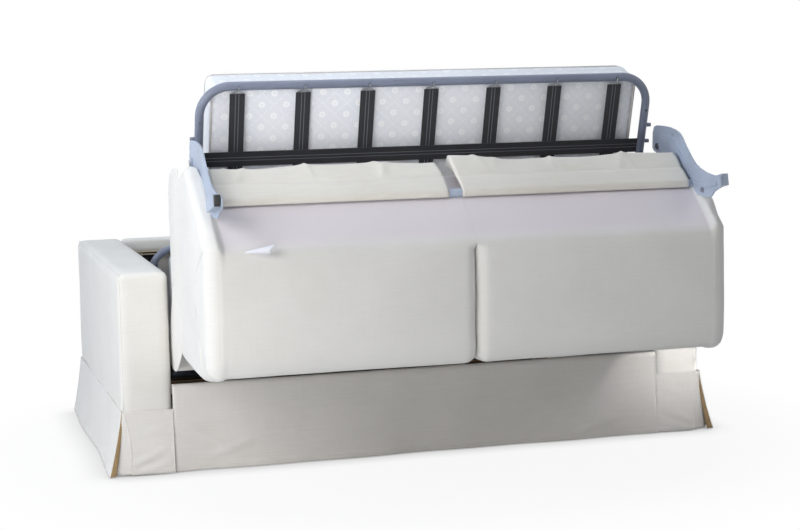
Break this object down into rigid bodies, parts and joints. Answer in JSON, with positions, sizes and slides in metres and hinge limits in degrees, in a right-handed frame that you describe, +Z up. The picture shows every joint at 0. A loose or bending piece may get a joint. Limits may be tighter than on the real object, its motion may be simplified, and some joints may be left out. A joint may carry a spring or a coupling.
{
  "type": "sofa bed",
  "caption": "Two-seat sofa bed stopped halfway through its fold: tube bed frame with elastic straps and mattress standing up, backrest turned over on curved side plates.",
  "frame": {"origin": "on the floor under the middle of the whole object, as it stands half folded", "axes": "+Z up, +X to the right of someone who faces the sofa, +Y towards its back, so the front faces -Y"},
  "size_m": [1.9242, 1.6541, 1.1672],
  "materials": {
    "cover": "woven cotton cover",
    "valance": "woven cotton, hanging",
    "pleat": "woven cotton, inside of a pleat",
    "cushion_cover": "woven cotton over padding",
    "mattress": "quilted damask ticking",
    "lining": "thin nonwoven cloth",
    "elastic_web": "ribbed elastic webbing",
    "timber": "raw spruce and board",
    "black_plastic": "moulded plastic",
    "zinc_steel": "zinc plated",
    "painted_steel": "blue-grey powder coat"
  },
  "bodies": {
    "base": {"left_arm": "cover", "right_arm": "cover", "front_board": "cover", "base_rails": "timber", "back_rails": "cover", "back_webbing": "elastic_web", "back_panel": "cover", "feet": "black_plastic", "front_valance": "valance", "left_valance": "valance", "right_valance": "valance", "back_valance": "valance", "corner_pleats": "pleat", "head_posts": "painted_steel", "head_pins": "zinc_steel"},
    "head_section": {"head_frame": "painted_steel", "head_straps": "elastic_web", "head_mattress": "mattress"},
    "knee_link": {"knee_bar": "zinc_steel", "knee_arms": "zinc_steel"},
    "middle_section": {"middle_frame": "painted_steel", "middle_straps": "elastic_web", "middle_mattress": "mattress"},
    "fold_link": {"fold_bar": "zinc_steel", "fold_arms": "zinc_steel"},
    "foot_section": {"foot_frame": "painted_steel", "foot_straps": "elastic_web", "cross_strap": "elastic_web", "strap_hooks": "zinc_steel", "foot_mattress": "mattress", "seat_board": "timber", "hinge_hangers": "painted_steel", "left_seat_cushion": "cushion_cover", "right_seat_cushion": "cushion_cover", "seat_roll": "cushion_cover", "left_seat_side": "cushion_cover", "right_seat_side": "cushion_cover", "hinge_bolts": "zinc_steel"},
    "backrest": {"left_plate": "painted_steel", "right_plate": "painted_steel", "plate_rivets": "zinc_steel", "cross_tube": "painted_steel", "leg_tubes": "painted_steel", "leg_caps": "black_plastic", "back_core": "lining", "back_lining": "lining", "left_back_cushion": "cushion_cover", "right_back_cushion": "cushion_cover", "left_flap": "cushion_cover", "right_flap": "cushion_cover", "left_cheek": "cushion_cover", "right_cheek": "cushion_cover"}
  },
  "joints": [
    {"name": "head_lift", "type": "hinge", "parent": "base", "child": "head_section", "pos_m": [0, 0.6938, 0.49], "axis": [1, 0, 0], "range_deg": [-90, 0]},
    {"name": "knee_turn", "type": "hinge", "parent": "head_section", "child": "knee_link", "pos_m": [0, 0.6938, 0.115], "axis": [1, 0, 0], "range_deg": [0, 111.75]},
    {"name": "middle_tilt", "type": "hinge", "parent": "knee_link", "child": "middle_section", "pos_m": [0, 0.6938, 0.115], "axis": [1, 0, 0], "range_deg": [0, 19.75]},
    {"name": "foot_open", "type": "hinge", "parent": "middle_section", "child": "fold_link", "pos_m": [0, -0.07916, 0.55241], "axis": [1, 0, 0], "range_deg": [0, 50.77]},
    {"name": "foot_fold", "type": "hinge", "parent": "fold_link", "child": "foot_section", "pos_m": [0, -0.07916, 0.55241], "axis": [1, 0, 0], "range_deg": [-129.24, 0]},
    {"name": "back_fold", "type": "hinge", "parent": "foot_section", "child": "backrest", "pos_m": [0, -0.399, 0.92498], "axis": [1, 0, 0], "range_deg": [-70.5, 30]}
  ],
  "couplings": [
    {"joint": "knee_turn", "follows": "head_lift", "ratio": -1.2416},
    {"joint": "foot_open", "follows": "head_lift", "ratio": -0.564},
    {"joint": "middle_tilt", "follows": "foot_fold", "ratio": -0.15274}
  ]
}
